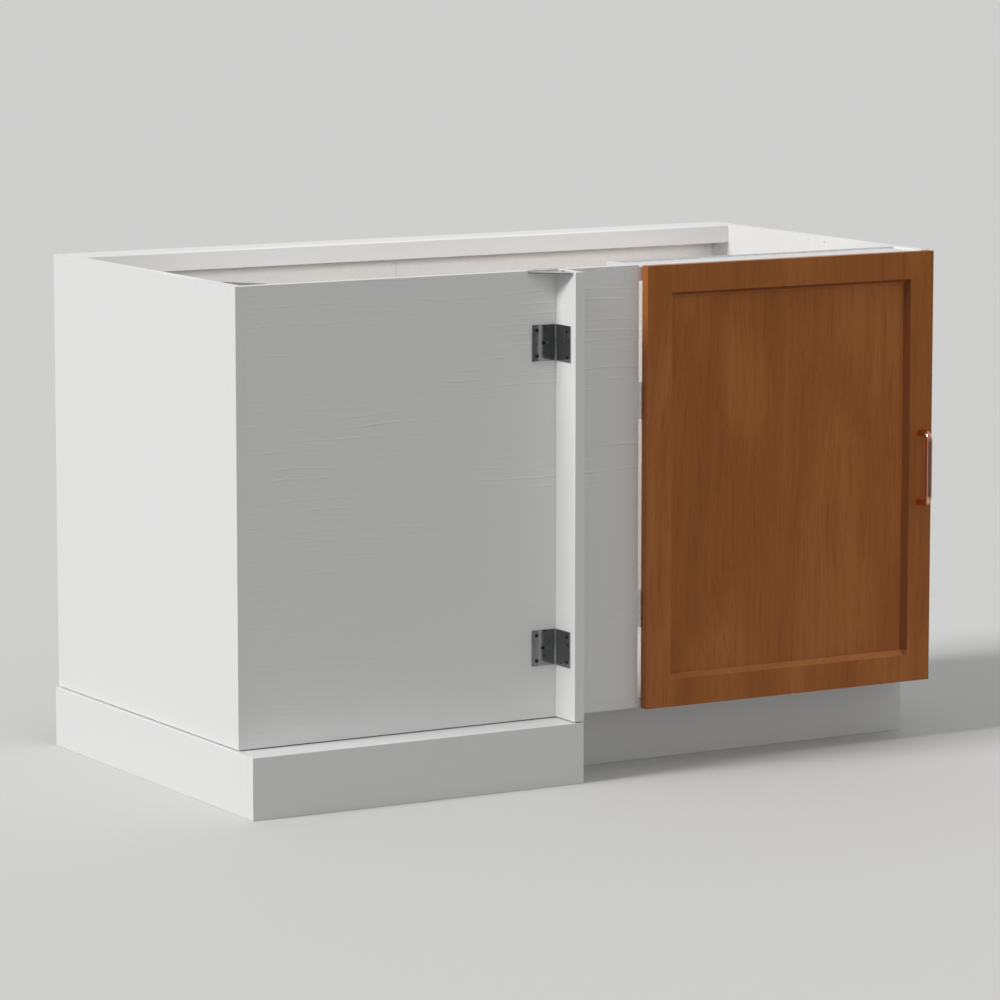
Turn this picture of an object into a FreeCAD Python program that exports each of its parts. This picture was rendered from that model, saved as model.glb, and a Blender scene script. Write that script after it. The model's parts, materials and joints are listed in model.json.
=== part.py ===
import FreeCAD, Part
import Sketcher
import os
import re

doc = FreeCAD.newDocument("corner_cabinet")
sheet = doc.addObject("Spreadsheet::Sheet", "Sizes")

# Driving sizes in millimetres.
# x runs from the left side to the right, z up from the floor.
# y runs from the front plane of the carcass to the back.
sizes = {
    # Carcass boards
    "cabinet_width": 1380,
    "carcass_depth": 698,
    "carcass_top": 876,
    "leg_height": 107.5,
    "board": 18,
    # Clearances shared by every fit
    "fit": 0.2,
    "overrun": 2,
    # Back rail laid flat, hardboard back and its joint strip
    "back_rail_height": 33.5,
    "back_rail_depth": 70,
    "back_rail_ease": 2.5,
    "hardboard": 3,
    "groove_depth": 8,
    "groove_offset": 4,
    "strip_flange": 24,
    "strip_wall": 1.2,
    "top_hole_radius": 2.5,
    "top_hole_spacing": 600,
    # Blind panel, hinge post and spacer strip
    "blind_right": 774.5,
    "post_width": 54,
    "post_back_width": 15,
    "post_depth": 64,
    "spacer_left": 610,
    "spacer_reach": 63.7,
    # Folded steel rail over the door
    "rail_sheet": 1.5,
    "rail_depth": 85,
    "rail_skirt": 24,
    "rail_lip": 3,
    "rail_tab_front": 8,
    "rail_tab_width": 34,
    "rail_hole_radius": 2.5,
    "rail_hole_inset": 113.75,
    # Angle brackets between blind panel and spacer
    "bracket_panel_leg": 48,
    "bracket_spacer_leg": 48.5,
    "bracket_height": 62,
    "bracket_sheet": 2,
    "bracket_bend": 2.5,
    "bracket_drop": 123,
    "bracket_rise": 122,
    "bracket_screw_inset": 9,
    "bracket_hole_inset": 18,
    # Corner plates at the top of the carcass
    "plate_sheet": 2,
    "plate_leg": 56,
    "plate_side_leg": 82,
    "plate_tip": 8,
    "plate_blunt": 20,
    "plate_flange": 18,
    "plate_drop": 1,
    "plate_screw_place": 36,
    # Flat plate let into the tops of blind panel and spacer
    "spacer_plate_drop": 1.6,
    "plate_rebate": 10,
    "plate_point": 3,
    "plate_top_screw": 13,
    # Angle cleat behind the blind panel
    "cleat_gap": 70.5,
    "cleat_length": 75,
    "cleat_depth": 15,
    "cleat_screw_inset": 12,
    # Rows of holes for shelf pins in the sides
    "pin_hole_radius": 2.5,
    "pin_hole_depth": 12,
    "pin_hole_pitch": 32,
    "pin_level": 467.5,
    "pin_front": 150,
    "pin_back_inset": 98,
    # Two pilot holes near the top of the right side, for screws into the next unit
    "link_hole_radius": 1.6,
    "link_hole_depth": 14,
    "link_hole_inset": 339.5,
    "link_hole_spacing": 52.5,
    "link_hole_drop": 9,
    # Levelling legs
    "leg_inset": 64,
    "leg_flange_radius": 32,
    "leg_flange": 4,
    "leg_body_radius": 20,
    "leg_body_length": 64,
    "leg_bore_length": 58,
    "leg_spigot_radius": 5,
    "leg_spigot_length": 11,
    "stem_radius": 8,
    "stem_fit": 0.08,
    "stem_length": 70,
    "foot_radius": 27,
    "foot_rim": 6,
    "foot_height": 12,
    # Plinth boards
    "plinth_height": 105.5,
    "plinth_proud": 6.8,
    "plinth_recess": 69.4,
    "plinth_short": 2.5,
    "block_side": 22,
    "block_height": 70,
    "clip_level": 52,
    "clip_height": 20,
    "clip_wall": 3,
    "clip_fit": 0.1,
    # Framed door
    "door_left_gap": 5.9,
    "door_right_gap": 4.3,
    "door_top_gap": 0.5,
    "door_lap": 0.8,
    "door_sheet": 18,
    "door_gap": 1.5,
    "frame_width": 57,
    "panel_recess": 10,
    "panel_sheet": 6,
    "panel_tongue": 10,
    "frame_bevel": 9,
    # Bow handle
    "handle_inset": 25.5,
    "handle_centres": 124,
    "handle_reach": 35,
    "handle_rod": 6,
    "handle_bend": 13,
    "handle_screw_grip": 14,
    # Butt hinges
    "hinge_drop": 232.5,
    "hinge_rise": 175.3,
    "hinge_height": 64,
    "hinge_sheet": 1.2,
    "barrel_radius": 2.5,
    "hinge_pin_radius": 1.2,
    "hinge_pin_fit": 0.05,
    "knuckle_gap": 0.3,
    "post_leaf": 42,
    "door_leaf": 30,
    "leaf_screw_inset": 14,
    # Screws and dowels
    "screw_radius": 1.6,
    "screw_head_radius": 3.2,
    "screw_head": 1.4,
    "screw_crown_radius": 2.3,
    "screw_crown": 0.6,
    "screw_length": 13,
    "screw_point": 3,
    "screw_tip_radius": 0.4,
    "recess_length": 3.2,
    "recess_width": 0.9,
    "recess_depth": 0.8,
    "dowel_radius": 4,
    "dowel_depth": 11,
    "dowel_front": 90,
    "dowel_back_inset": 88,
    # Magnetic catch and door bumpers
    "catch_drop": 176,
    "catch_height": 44,
    "catch_width": 13,
    "catch_depth": 24,
    "pole_sheet": 1.5,
    "pole_inset": 3,
    "pole_depth": 14,
    "strike_height": 34,
    "bumper_radius": 5,
    "bumper_inset": 6.5,
    "bumper_level": 40,
}

# Places worked out from the driving sizes.
places = {
    "origin_x": "(cabinet_width - plinth_proud) / 2",
    "origin_y": "(carcass_depth - spacer_reach) / 2",
    "right_inner": "cabinet_width - board",
    "inner_width": "cabinet_width - 2 * board",
    "panel_height": "carcass_top - leg_height",
    "floor_top": "leg_height + board",
    "back_rail_bottom": "carcass_top - back_rail_height",
    "back_rail_front": "carcass_depth - back_rail_depth",
    "back_rail_middle": "carcass_depth - back_rail_depth / 2",
    "groove_width": "hardboard + fit",
    "groove_front": "carcass_depth - board + groove_offset",
    "middle": "cabinet_width / 2",
    "spacer_right": "spacer_left + board",
    "rail_bottom": "carcass_top - rail_skirt - rail_lip",
    "rail_length": "right_inner - blind_right",
    "rail_hole_spacing": "rail_length / 2 - rail_hole_inset",
    "rail_top": "carcass_top - rail_lip",
    "bracket_upper_level": "carcass_top - bracket_drop",
    "bracket_lower_level": "leg_height + bracket_rise",
    "plate_top": "carcass_top - plate_drop",
    "plate_bottom": "plate_top - plate_sheet",
    "spacer_plate_top": "carcass_top - spacer_plate_drop",
    "spacer_plate_bottom": "spacer_plate_top - plate_sheet",
    "cleat_right": "blind_right - post_width - cleat_gap",
    "cleat_left": "cleat_right - cleat_length",
    "pin_back": "carcass_depth - pin_back_inset",
    "dowel_back": "carcass_depth - dowel_back_inset",
    "plinth_right_end": "cabinet_width - plinth_short",
    "door_left": "blind_right + door_left_gap",
    "door_right": "cabinet_width - door_right_gap",
    "door_width": "door_right - door_left",
    "door_bottom": "leg_height - door_lap",
    "door_top": "carcass_top - door_top_gap",
    "door_height": "door_top - door_bottom",
    "door_front": "0 - door_gap - door_sheet",
    "door_back": "0 - door_gap",
    "opening_left": "door_left + frame_width",
    "opening_right": "door_right - frame_width",
    "opening_bottom": "door_bottom + frame_width",
    "opening_top": "door_top - frame_width",
    "opening_width": "door_width - 2 * frame_width",
    "opening_height": "door_height - 2 * frame_width",
    "panel_front": "door_front + panel_recess",
    "handle_x": "door_right - handle_inset",
    "handle_level": "(door_bottom + door_top) / 2",
    "handle_low": "handle_level - handle_centres / 2",
    "handle_high": "handle_level + handle_centres / 2",
    "handle_line": "door_front - handle_reach + handle_rod",
    "hinge_upper_level": "door_top - hinge_drop",
    "hinge_lower_level": "door_bottom + hinge_rise",
    "hinge_x": "blind_right + barrel_radius",
    "hinge_y": "hinge_sheet - door_gap - barrel_radius",
    "leaf_start": "barrel_radius + knuckle_gap",
    "leg_left": "leg_inset",
    "leg_right": "cabinet_width - leg_inset",
    "leg_front": "plinth_recess + leg_inset",
    "leg_back": "carcass_depth - leg_inset",
    "catch_left": "right_inner - catch_width",
    "catch_level": "carcass_top - catch_drop",
}

for row, (name, value) in enumerate({**sizes, **places}.items(), start=1):
    sheet.set(f"A{row}", name)
    sheet.set(f"B{row}", str(value) if name in sizes else "=" + value)
    sheet.setAlias(f"B{row}", name)
doc.recompute()

pieces = []
corner = ("0", "0", "0")
turns = {
    "x": FreeCAD.Rotation(FreeCAD.Vector(0, 1, 0), 90),
    "y": FreeCAD.Rotation(FreeCAD.Vector(1, 0, 0), -90),
    "z": FreeCAD.Rotation(),
}


# An expression that reads its words from the sheet.
def tied(text):
    return re.sub("[a-z][a-z_]*", lambda word: "Sizes." + word.group(), text)


def bind(thing, **texts):
    for name, text in texts.items():
        thing.setExpression(name, tied(text))


def put(thing, at):
    for letter, text in zip("xyz", at):
        thing.setExpression("Placement.Base." + letter, tied(text))


# The place that lies a distance further along one axis.
def moved(at, axis, distance):
    return tuple(f"{text} + ({distance})" if letter == axis else text for letter, text in zip("xyz", at))


# A finished piece gets its name and its place about the origin under the middle of the cabinet.
def piece(label, thing, at=corner):
    thing.Label = label
    put(thing, (f"{at[0]} - origin_x", f"{at[1]} - origin_y", at[2]))
    pieces.append(thing)


def box(size, at):
    block = doc.addObject("Part::Box", "Block")
    bind(block, Length=size[0], Width=size[1], Height=size[2])
    put(block, at)
    return block


def rod(radius, length, axis, at):
    cylinder = doc.addObject("Part::Cylinder", "Rod")
    cylinder.Placement.Rotation = turns[axis]
    bind(cylinder, Radius=radius, Height=length)
    put(cylinder, at)
    return cylinder


def group(things):
    compound = doc.addObject("Part::Compound", "Group")
    compound.Links = things
    return compound


def fuse(things):
    union = doc.addObject("Part::MultiFuse", "Union")
    union.Shapes = things
    union.Refine = True
    return union


def cut(base, tools):
    result = doc.addObject("Part::Cut", "Cut")
    result.Base = base
    result.Tool = group(tools)
    return result


# A sketch of straight lines whose corners are tied to the sheet, on one of the body's own planes.
def outline(body, plane, corners):
    sketch = body.newObject("Sketcher::SketchObject", "Outline")
    support = [feature for feature in body.Origin.OriginFeatures if feature.Role == plane][0]
    sketch.AttachmentSupport = [(support, "")]
    sketch.MapMode = "FlatFace"
    count = len(corners)
    spots = [FreeCAD.Vector(number, number * number, 0) for number in range(count)]
    for number in range(count):
        sketch.addGeometry(Part.LineSegment(spots[number], spots[(number + 1) % count]))
    for number in range(count):
        sketch.addConstraint(Sketcher.Constraint("Coincident", number, 2, (number + 1) % count, 1))
    for number, corner_place in enumerate(corners):
        for kind, text in zip(("DistanceX", "DistanceY"), corner_place):
            start = spots[number].x if kind == "DistanceX" else spots[number].y
            index = sketch.addConstraint(Sketcher.Constraint(kind, -1, 1, number, 1, start))
            sketch.setExpression(f"Constraints[{index}]", tied(text))
    return sketch


def pad(plane, corners, length):
    body = doc.addObject("PartDesign::Body", "Profile")
    feature = body.newObject("PartDesign::Pad", "Pad")
    feature.Profile = outline(body, plane, corners)
    bind(feature, Length=length)
    return body


def revolve(corners):
    body = doc.addObject("PartDesign::Body", "Turned")
    feature = body.newObject("PartDesign::Revolution", "Revolution")
    profile = outline(body, "XZ_Plane", corners)
    feature.Profile = profile
    feature.ReferenceAxis = (profile, ["V_Axis"])
    return body


# Rounds the upright edges of a padded profile that stand at one corner.
def round_upright(body, at, radius):
    doc.recompute()
    base = body.Tip
    spot = FreeCAD.Vector(at[0], at[1], 0)
    names = []
    for number, edge in enumerate(base.Shape.Edges, start=1):
        ends = [FreeCAD.Vector(vertex.X, vertex.Y, 0) for vertex in edge.Vertexes]
        if len(ends) == 2 and all(end.isEqual(spot, Part.Precision.confusion()) for end in ends):
            names.append(f"Edge{number}")
    feature = body.newObject("PartDesign::Fillet", "Round")
    feature.Base = (base, names)
    bind(feature, Radius=radius)


def cone(start_radius, end_radius, length, axis, at):
    taper = doc.addObject("Part::Cone", "Taper")
    taper.Placement.Rotation = turns[axis]
    bind(taper, Radius1=start_radius, Radius2=end_radius, Height=length)
    put(taper, at)
    return taper


# Two crossing slots that open in the outer face of a screw head.
def cross_recess(axis, start):
    slots = []
    sides = [letter for letter in "xyz" if letter != axis]
    for wide, long in (sides, sides[::-1]):
        size = {axis: "recess_depth + overrun", wide: "recess_width", long: "recess_length"}
        at = moved(moved(start, wide, "0 - recess_width / 2"), long, "0 - recess_length / 2")
        slots.append(box([size[letter] for letter in "xyz"], at))
    return slots


# A pan-head screw seated at a place, with its shank along the axis, forwards or backwards.
def screw(axis, forwards, at, length="screw_length"):
    straight = f"({length}) - screw_point"
    rim = "screw_head - screw_crown"
    if forwards:
        shank = rod("screw_radius", straight, axis, at)
        tip_at = moved(at, axis, straight)
        tip = cone("screw_radius", "screw_tip_radius", "screw_point", axis, tip_at)
        head = rod("screw_head_radius", rim, axis, moved(at, axis, f"0 - ({rim})"))
        crown_at = moved(at, axis, "0 - screw_head")
        crown = cone("screw_crown_radius", "screw_head_radius", "screw_crown", axis, crown_at)
        recess_at = moved(crown_at, axis, "0 - overrun")
    else:
        shank = rod("screw_radius", straight, axis, moved(at, axis, f"0 - ({straight})"))
        tip_at = moved(at, axis, f"0 - ({length})")
        tip = cone("screw_tip_radius", "screw_radius", "screw_point", axis, tip_at)
        head = rod("screw_head_radius", rim, axis, at)
        crown_at = moved(at, axis, rim)
        crown = cone("screw_head_radius", "screw_crown_radius", "screw_crown", axis, crown_at)
        recess_at = moved(at, axis, "screw_head - recess_depth")
    return cut(fuse([tip, shank, head, crown]), cross_recess(axis, recess_at))


# The hole that such a screw goes into, a little wider and deeper.
def screw_hole(axis, forwards, at, length="screw_length"):
    start = at if forwards else moved(at, axis, f"0 - ({length}) - fit")
    return rod("screw_radius + fit / 2", f"{length} + fit", axis, start)


# Screws of the two angle brackets: three into the blind panel and two into the spacer.
bracket_levels = {"upper": "bracket_upper_level", "lower": "bracket_lower_level"}
bracket_screws = []
bracket_holes = {"upper": [], "lower": []}
for side, level in bracket_levels.items():
    rise = "bracket_height / 2 - bracket_screw_inset"
    far = "spacer_left - bracket_panel_leg + bracket_screw_inset"
    near = "spacer_left - bracket_hole_inset - bracket_screw_inset"
    front = "0 - bracket_sheet"
    outer = "0 - bracket_spacer_leg + bracket_screw_inset"
    seats = [
        ("y", (far, front, f"{level} + {rise}")),
        ("y", (far, front, f"{level} - ({rise})")),
        ("y", (near, front, level)),
        ("x", ("spacer_left - bracket_sheet", outer, f"{level} + {rise}")),
        ("x", ("spacer_left - bracket_sheet", outer, f"{level} - ({rise})")),
    ]
    bracket_screws += [screw(axis, True, at) for axis, at in seats]
    bracket_holes[side] = [screw_hole(axis, True, at) for axis, at in seats]
all_bracket_holes = bracket_holes["upper"] + bracket_holes["lower"]

# Screws of the corner plates: through the flanges inside, and down through the flat plate.
flange_middle = "plate_bottom - plate_flange / 2"
cleat_face = "board + plate_sheet"
flat_screw_deep = "plate_rebate / 2"
flat_screw_across = "spacer_left + plate_rebate / 2"
plate_seats = {
    "left_panel": ("y", False, ("board + plate_screw_place", "board + plate_sheet", flange_middle)),
    "left_side": ("x", False, ("board + plate_sheet", "board + plate_screw_place", flange_middle)),
    "top_panel": ("z", False, ("spacer_left - plate_top_screw", flat_screw_deep, "spacer_plate_top")),
    "top_spacer": ("z", False, (flat_screw_across, "0 - plate_top_screw", "spacer_plate_top")),
    "cleat_left": ("y", False, ("cleat_left + cleat_screw_inset", cleat_face, flange_middle)),
    "cleat_right": ("y", False, ("cleat_right - cleat_screw_inset", cleat_face, flange_middle)),
}
plate_screws = [screw(*seat) for seat in plate_seats.values()]
plate_holes = {name: screw_hole(*seat) for name, seat in plate_seats.items()}

# Screws of the steel rail, through its end tabs.
tab_middle = "rail_tab_front + rail_tab_width / 2"
tab_level = "rail_bottom + rail_skirt / 2"
rail_seats = {
    "post": ("x", False, ("blind_right + rail_sheet", tab_middle, tab_level)),
    "side": ("x", True, ("right_inner - rail_sheet", tab_middle, tab_level)),
}
rail_screws = [screw(*seat) for seat in rail_seats.values()]
rail_screw_holes = {name: screw_hole(*seat) for name, seat in rail_seats.items()}

# Screws of the hinge leaves, two in each leaf.
hinge_levels = {"upper": "hinge_upper_level", "lower": "hinge_lower_level"}
post_screws = []
post_holes = {"upper": [], "lower": []}
door_screws = []
door_holes = {"upper": [], "lower": []}
for side, level in hinge_levels.items():
    for sign in ("+", "-"):
        height = f"{level} {sign} (hinge_height / 2 - leaf_screw_inset)"
        post_seat = ("x", False, ("blind_right + hinge_sheet", "board + leaf_screw_inset", height))
        across = "hinge_x + door_leaf - leaf_screw_inset"
        door_seat = ("y", False, (across, "door_back + hinge_sheet", height))
        post_screws.append(screw(*post_seat))
        post_holes[side].append(screw_hole(*post_seat))
        door_screws.append(screw(*door_seat))
        door_holes[side].append(screw_hole(*door_seat))

# Dowels that join the bottom and the back rail to the two sides.
dowels = []
dowel_holes = []
dowel_places = [("dowel_front", "leg_height + board / 2"), ("dowel_back", "leg_height + board / 2")]
dowel_places += [("back_rail_middle", "carcass_top - back_rail_height / 2")]
for joint in ("board", "right_inner"):
    for deep, level in dowel_places:
        at = (f"{joint} - dowel_depth", deep, level)
        dowels.append(rod("dowel_radius", "2 * dowel_depth", "x", at))
        hole_start = moved(at, "x", "0 - fit")
        dowel_holes.append(rod("dowel_radius + fit / 2", "2 * (dowel_depth + fit)", "x", hole_start))

# Rows of holes for shelf pins in both sides.
hole_rows = (-2, -1, 0, 1, 2)
pin_places = ("pin_front", "pin_back")


def pin_holes(start):
    holes = []
    for deep in pin_places:
        for number in hole_rows:
            level = f"pin_level + {number} * pin_hole_pitch"
            holes.append(rod("pin_hole_radius + fit / 2", "pin_hole_depth", "x", (start, deep, level)))
    return holes


# Sides
groove = ("groove_depth", "groove_width", "panel_height + 2 * overrun")
left = box(("board", "carcass_depth", "panel_height"), ("0", "0", "leg_height"))
left_tools = [box(groove, ("board - groove_depth", "groove_front", "leg_height - overrun"))]
left_tools += pin_holes("board - pin_hole_depth") + dowel_holes[:3] + [plate_holes["left_side"]]
piece("left_side_panel", cut(left, left_tools))

right = box(("board", "carcass_depth", "panel_height"), ("right_inner", "0", "leg_height"))
right_tools = [box(groove, ("right_inner", "groove_front", "leg_height - overrun"))]
right_tools += pin_holes("right_inner") + dowel_holes[3:] + [rail_screw_holes["side"]]
for deep in ("link_hole_inset", "link_hole_inset + link_hole_spacing"):
    at = ("right_inner", f"carcass_depth - ({deep})", "carcass_top - link_hole_drop")
    right_tools.append(rod("link_hole_radius", "link_hole_depth", "x", at))
piece("right_side_panel", cut(right, right_tools))

# Levelling legs: turned sockets pressed into the bottom, and a threaded foot in each
leg_places = {
    "front_left": ("leg_left", "leg_front"),
    "front_middle": ("spacer_right + leg_inset", "leg_front"),
    "front_right": ("leg_right", "leg_front"),
    "back_left": ("leg_left", "leg_back"),
    "back_middle": ("spacer_right + leg_inset", "leg_back"),
    "back_right": ("leg_right", "leg_back"),
}
socket_bore = "stem_radius + stem_fit"
socket_outline = [
    ("0", "leg_body_length + leg_flange + leg_spigot_length"),
    ("0", "leg_bore_length"),
    (socket_bore, "leg_bore_length"),
    (socket_bore, "0"),
    ("leg_body_radius", "0"),
    ("leg_body_radius", "leg_body_length"),
    ("leg_flange_radius", "leg_body_length"),
    ("leg_flange_radius", "leg_body_length + leg_flange"),
    ("leg_spigot_radius", "leg_body_length + leg_flange"),
    ("leg_spigot_radius", "leg_body_length + leg_flange + leg_spigot_length"),
]
foot_outline = [
    ("0", "0"),
    ("foot_radius", "0"),
    ("foot_radius", "foot_rim"),
    ("stem_radius + foot_rim", "foot_height"),
    ("stem_radius", "foot_height"),
    ("stem_radius", "stem_length"),
    ("0", "stem_length"),
]
sockets = []
spigot_holes = []
for name, (across, deep) in leg_places.items():
    socket = revolve(socket_outline)
    put(socket, (across, deep, "leg_height - leg_flange - leg_body_length"))
    sockets.append(socket)
    hole_length = "leg_spigot_length + fit + overrun"
    hole_start = (across, deep, "leg_height - overrun")
    spigot_holes.append(rod("leg_spigot_radius + fit / 2", hole_length, "z", hole_start))
    piece(f"foot_{name}", revolve(foot_outline), (across, deep, "0"))
piece("leg_sockets", group(sockets))

# Bottom, with its front edge cut back behind the long part of the blind panel
bottom = box(("inner_width", "carcass_depth", "board"), ("board", "0", "leg_height"))
notch_size = ("spacer_right - board + overrun", "board + overrun", "board + 2 * overrun")
bottom_tools = [box(notch_size, ("board - overrun", "0 - overrun", "leg_height - overrun"))]
bottom_groove = ("inner_width + 2 * overrun", "groove_width", "groove_depth + overrun")
bottom_tools += [box(bottom_groove, ("board - overrun", "groove_front", "floor_top - groove_depth"))]
bottom_tools += dowel_holes[:2] + dowel_holes[3:5] + spigot_holes
piece("bottom_panel", cut(bottom, bottom_tools))

# Back rail, laid flat, with an eased front edge and two holes for worktop screws
back_rail_outline = [
    ("0", "0"),
    ("back_rail_depth", "0"),
    ("back_rail_depth", "back_rail_height"),
    ("back_rail_ease", "back_rail_height"),
    ("0", "back_rail_height - back_rail_ease"),
]
back_rail = pad("YZ_Plane", back_rail_outline, "inner_width")
put(back_rail, ("board", "back_rail_front", "back_rail_bottom"))
rail_groove = ("inner_width + 2 * overrun", "groove_width", "groove_depth + overrun")
back_rail_tools = [box(rail_groove, ("board - overrun", "groove_front", "back_rail_bottom - overrun"))]
for across in ("middle - top_hole_spacing / 2", "middle + top_hole_spacing / 2"):
    at = (across, "back_rail_middle", "back_rail_bottom - overrun")
    back_rail_tools.append(rod("top_hole_radius", "back_rail_height + 2 * overrun", "z", at))
back_rail_tools += [dowel_holes[2], dowel_holes[5]]
piece("back_top_rail", cut(back_rail, back_rail_tools))

# Hardboard back in two halves, held in the grooves and joined by a strip
back_bottom = "floor_top - groove_depth + fit"
back_height = "back_rail_bottom + groove_depth - fit - (floor_top - groove_depth + fit)"
half_width = "inner_width / 2 + groove_depth - fit - strip_wall / 2"
back_size = (half_width, "hardboard", back_height)
back_face = "groove_front + fit / 2"
back_starts = {"left": "board - groove_depth + fit", "right": "middle + strip_wall / 2"}
for side, start in back_starts.items():
    piece(f"back_panel_{side}", box(back_size, corner), (start, back_face, back_bottom))

strip_height = "back_rail_bottom - floor_top"
strip_flange = ("strip_flange", "strip_wall", strip_height)
strip_left = "middle - strip_flange / 2"
strip_front = box(strip_flange, (strip_left, f"{back_face} - strip_wall", "floor_top"))
strip_back = box(strip_flange, (strip_left, f"{back_face} + hardboard", "floor_top"))
web_at = ("middle - strip_wall / 2", back_face, "floor_top")
strip_web = box(("strip_wall", "hardboard", strip_height), web_at)
piece("back_joint_strip", fuse([strip_front, strip_web, strip_back]))

# Blind panel: long beside the spacer, short above the open edge of the bottom
blind = box(("blind_right - board", "board", "panel_height"), ("board", "0", "leg_height"))
step_size = ("blind_right - spacer_right + overrun", "board + 2 * overrun", "board + overrun")
blind_tools = [box(step_size, ("spacer_right", "0 - overrun", "leg_height - overrun"))]
blind_tools += all_bracket_holes
blind_tools += [plate_holes[name] for name in ("left_panel", "top_panel", "cleat_left", "cleat_right")]
rebate_high = "carcass_top - spacer_plate_bottom + overrun"
panel_rebate = ("plate_leg + plate_rebate + 2 * fit", "plate_rebate + fit + overrun", rebate_high)
panel_rebate_at = ("spacer_left - plate_leg - fit", "0 - overrun", "spacer_plate_bottom")
blind_tools += [box(panel_rebate, panel_rebate_at)]
piece("blind_panel", cut(blind, blind_tools))

# Post behind the free edge of the blind panel, slanted on its inner side, which carries the hinges
post_outline = [
    ("0", "0"),
    ("post_width", "0"),
    ("post_width", "post_depth"),
    ("post_width - post_back_width", "post_depth"),
]
post = pad("XY_Plane", post_outline, "carcass_top - floor_top")
put(post, ("blind_right - post_width", "board", "floor_top"))
post_tools = post_holes["upper"] + post_holes["lower"] + [rail_screw_holes["post"]]
piece("hinge_post", cut(post, post_tools))

# Spacer strip that stands in front of the blind panel
spacer = box(("board", "spacer_reach", "panel_height"), ("spacer_left", "0 - spacer_reach", "leg_height"))
spacer_rebate = ("plate_rebate + fit + overrun", "plate_leg + fit + overrun", rebate_high)
spacer_rebate_at = ("spacer_left - overrun", "0 - plate_leg - fit", "spacer_plate_bottom")
spacer_tools = all_bracket_holes + [plate_holes["top_spacer"], box(spacer_rebate, spacer_rebate_at)]
piece("spacer_strip", cut(spacer, spacer_tools))

# Angle brackets, bent from one strip, with a spare hole near the bend
bracket_outline = [
    ("0", "bracket_spacer_leg - bracket_sheet"),
    ("bracket_panel_leg - bracket_sheet", "bracket_spacer_leg - bracket_sheet"),
    ("bracket_panel_leg - bracket_sheet", "0"),
    ("bracket_panel_leg", "0"),
    ("bracket_panel_leg", "bracket_spacer_leg"),
    ("0", "bracket_spacer_leg"),
]
for side, level in bracket_levels.items():
    bracket = pad("XY_Plane", bracket_outline, "bracket_height")
    outer_bend = FreeCAD.Vector(sheet.bracket_panel_leg, sheet.bracket_spacer_leg, 0)
    inner_bend = outer_bend - FreeCAD.Vector(sheet.bracket_sheet, sheet.bracket_sheet, 0)
    round_upright(bracket, inner_bend, "bracket_bend")
    round_upright(bracket, outer_bend, "bracket_bend + bracket_sheet")
    bracket_foot = f"{level} - bracket_height / 2"
    put(bracket, ("spacer_left - bracket_panel_leg", "0 - bracket_spacer_leg", bracket_foot))
    spare_start = ("spacer_left - bracket_hole_inset", "0 - bracket_sheet - overrun", level)
    spare = rod("screw_radius", "bracket_sheet + 2 * overrun", "y", spare_start)
    piece(f"spacer_bracket_{side}", cut(bracket, bracket_holes[side] + [spare]))
piece("bracket_screws", group(bracket_screws))

# Corner plate inside the front left corner, with a turned-down flange along each leg
left_plate_outline = [
    ("0", "0"),
    ("plate_leg", "0"),
    ("plate_leg", "plate_blunt"),
    ("plate_tip", "plate_side_leg"),
    ("0", "plate_side_leg"),
]
left_plate_top = pad("XY_Plane", left_plate_outline, "plate_sheet")
put(left_plate_top, ("0", "0", "plate_flange"))
panel_flange = box(("plate_leg", "plate_sheet", "plate_flange"), corner)
side_flange = box(("plate_sheet", "plate_side_leg", "plate_flange"), corner)
left_plate = fuse([left_plate_top, panel_flange, side_flange])
put(left_plate, ("board", "board", "plate_bottom - plate_flange"))
piece("corner_plate_left", cut(left_plate, [plate_holes["left_panel"], plate_holes["left_side"]]))

# Flat plate across the corner between blind panel and spacer
flat_plate_outline = [
    ("plate_rebate", "plate_rebate"),
    ("0 - plate_leg", "plate_rebate"),
    ("0 - plate_leg", "0 - plate_point"),
    ("0 - plate_point", "0 - plate_leg"),
    ("plate_rebate", "0 - plate_leg"),
]
flat_plate = pad("XY_Plane", flat_plate_outline, "plate_sheet")
put(flat_plate, ("spacer_left", "0", "spacer_plate_bottom"))
piece("corner_plate_spacer", cut(flat_plate, [plate_holes["top_panel"], plate_holes["top_spacer"]]))

# Angle cleat behind the blind panel, its top leg cut off at a slant at both ends
cleat_outline = [
    ("0", "0"),
    ("cleat_length", "0"),
    ("cleat_length - plate_tip", "cleat_depth"),
    ("plate_tip", "cleat_depth"),
]
cleat_top = pad("XY_Plane", cleat_outline, "plate_sheet")
put(cleat_top, ("0", "0", "plate_flange"))
cleat_flange = box(("cleat_length", "plate_sheet", "plate_flange"), corner)
cleat = fuse([cleat_top, cleat_flange])
put(cleat, ("cleat_left", "board", "plate_bottom - plate_flange"))
piece("corner_plate_inner", cut(cleat, [plate_holes["cleat_left"], plate_holes["cleat_right"]]))
piece("plate_screws", group(plate_screws))

# Folded steel rail over the door: a skirt down at the front, a lip up at the back and a tab at each end
rail_outline = [
    ("0", "0"),
    ("rail_sheet", "0"),
    ("rail_sheet", "rail_skirt - rail_sheet"),
    ("rail_depth", "rail_skirt - rail_sheet"),
    ("rail_depth", "rail_skirt + rail_lip"),
    ("rail_depth - rail_sheet", "rail_skirt + rail_lip"),
    ("rail_depth - rail_sheet", "rail_skirt"),
    ("0", "rail_skirt"),
]
rail_web = pad("YZ_Plane", rail_outline, "rail_length")
put(rail_web, ("blind_right", "0", "rail_bottom"))
tab_size = ("rail_sheet", "rail_tab_width", "rail_skirt - rail_sheet / 2")
tab_starts = ("blind_right", "right_inner - rail_sheet")
tabs = [box(tab_size, (start, "rail_tab_front", "rail_bottom")) for start in tab_starts]
rail_tools = list(rail_screw_holes.values())
for sign in ("+", "-"):
    across = f"blind_right + rail_length / 2 {sign} rail_hole_spacing"
    at = (across, "rail_depth / 2", "rail_top - rail_sheet - overrun")
    rail_tools.append(rod("rail_hole_radius", "rail_sheet + 2 * overrun", "z", at))
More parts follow.
